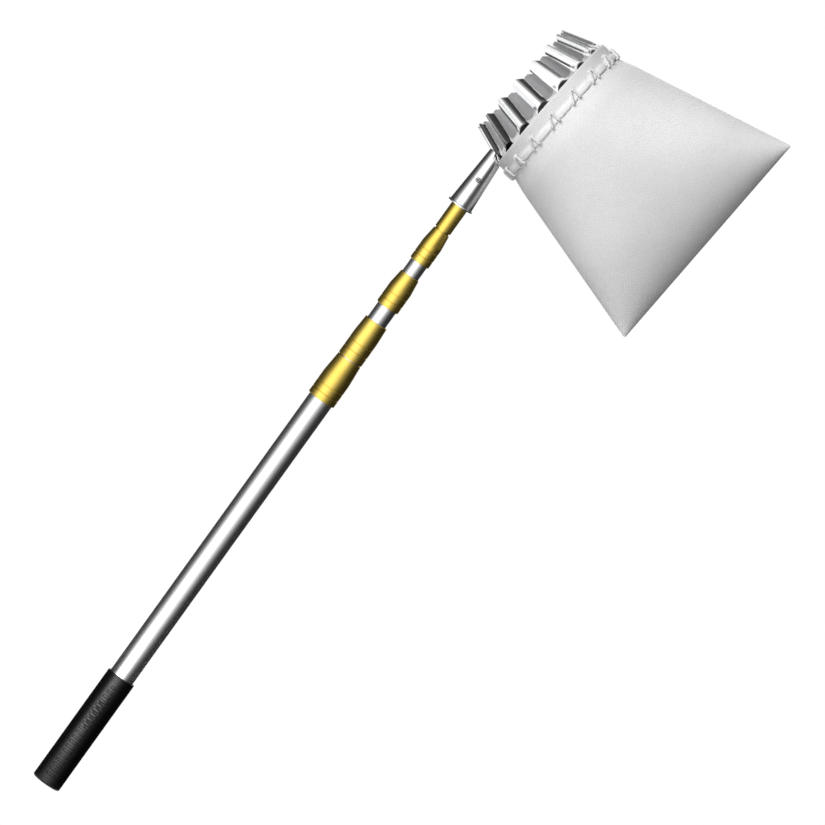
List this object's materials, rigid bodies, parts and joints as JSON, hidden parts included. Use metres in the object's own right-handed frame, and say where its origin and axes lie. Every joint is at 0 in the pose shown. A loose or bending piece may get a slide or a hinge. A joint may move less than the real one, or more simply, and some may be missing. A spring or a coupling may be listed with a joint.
{
  "type": "fruit picker",
  "caption": "Fruit picker on a telescopic twist-lock pole: a crown of bent steel fingers laced to a tapering cloth bag, on a swivelling socket above a rubber grip.",
  "frame": {"origin": "middle of the flat butt face of the grip, on the axis of the pole", "axes": "+Z along the pole towards the picking head, -X the way the fingers point, +X the way the bag hangs off"},
  "size_m": [0.2555, 0.158, 0.916],
  "materials": {
    "grip_rubber": "matte moulded rubber",
    "bright_aluminium": "bright drawn tube",
    "gold_aluminium": "gold anodised, satin",
    "bright_steel": "bright plated sheet",
    "nylon": "natural nylon",
    "bag_cloth": "plain woven white cloth",
    "cord": "twisted pale cord"
  },
  "bodies": {
    "handle": {"grip": "grip_rubber", "tube_1": "bright_aluminium", "lock_bush_1": "gold_aluminium", "collet_1": "nylon"},
    "twist_nut_1": {"lock_nut_1": "gold_aluminium"},
    "section_2": {"tube_2": "bright_aluminium", "guide_sleeve_2": "nylon", "lock_bush_2": "gold_aluminium", "collet_2": "nylon"},
    "twist_nut_2": {"lock_nut_2": "gold_aluminium"},
    "section_3": {"tube_3": "bright_aluminium", "guide_sleeve_3": "nylon", "lock_bush_3": "gold_aluminium", "collet_3": "nylon"},
    "twist_nut_3": {"lock_nut_3": "gold_aluminium"},
    "section_4": {"tube_4": "bright_aluminium", "guide_sleeve_4": "nylon", "lock_bush_4": "gold_aluminium", "collet_4": "nylon"},
    "twist_nut_4": {"lock_nut_4": "gold_aluminium"},
    "head": {"spigot": "gold_aluminium", "socket": "bright_steel", "socket_screw": "bright_steel", "hoop": "bright_steel", "finger_01": "bright_steel", "finger_02": "bright_steel", "finger_03": "bright_steel", "finger_04": "bright_steel", "finger_05": "bright_steel", "finger_06": "bright_steel", "finger_07": "bright_steel", "finger_08": "bright_steel", "finger_09": "bright_steel", "finger_10": "bright_steel", "finger_11": "bright_steel", "finger_12": "bright_steel", "finger_13": "bright_steel", "finger_14": "bright_steel", "finger_15": "bright_steel", "finger_16": "bright_steel", "hem": "bag_cloth", "bag_front": "bag_cloth", "bag_back": "bag_cloth", "lacing_cord": "cord", "lacing_knot": "cord"}
  },
  "joints": [
    {"name": "nut_1_turn", "type": "hinge", "parent": "handle", "child": "twist_nut_1", "pos_m": [0, 0, 0.479], "axis": [0, 0, 1], "range_deg": [0, 180]},
    {"name": "nut_2_turn", "type": "hinge", "parent": "section_2", "child": "twist_nut_2", "pos_m": [0, 0, 0.526], "axis": [0, 0, 1], "range_deg": [0, 180]},
    {"name": "nut_3_turn", "type": "hinge", "parent": "section_3", "child": "twist_nut_3", "pos_m": [0, 0, 0.584], "axis": [0, 0, 1], "range_deg": [0, 180]},
    {"name": "nut_4_turn", "type": "hinge", "parent": "section_4", "child": "twist_nut_4", "pos_m": [0, 0, 0.637], "axis": [0, 0, 1], "range_deg": [0, 180]},
    {"name": "section_2_slide", "type": "slide", "parent": "handle", "child": "section_2", "axis": [0, 0, 1], "range_m": [-0.0005, 0.399]},
    {"name": "section_3_slide", "type": "slide", "parent": "section_2", "child": "section_3", "axis": [0, 0, 1], "range_m": [-0.017, 0.407]},
    {"name": "section_4_slide", "type": "slide", "parent": "section_3", "child": "section_4", "axis": [0, 0, 1], "range_m": [-0.0147, 0.4265]},
    {"name": "head_swivel", "type": "hinge", "parent": "section_4", "child": "head", "pos_m": [0, 0, 0.66], "axis": [0, 0, 1], "continuous": true}
  ]
}
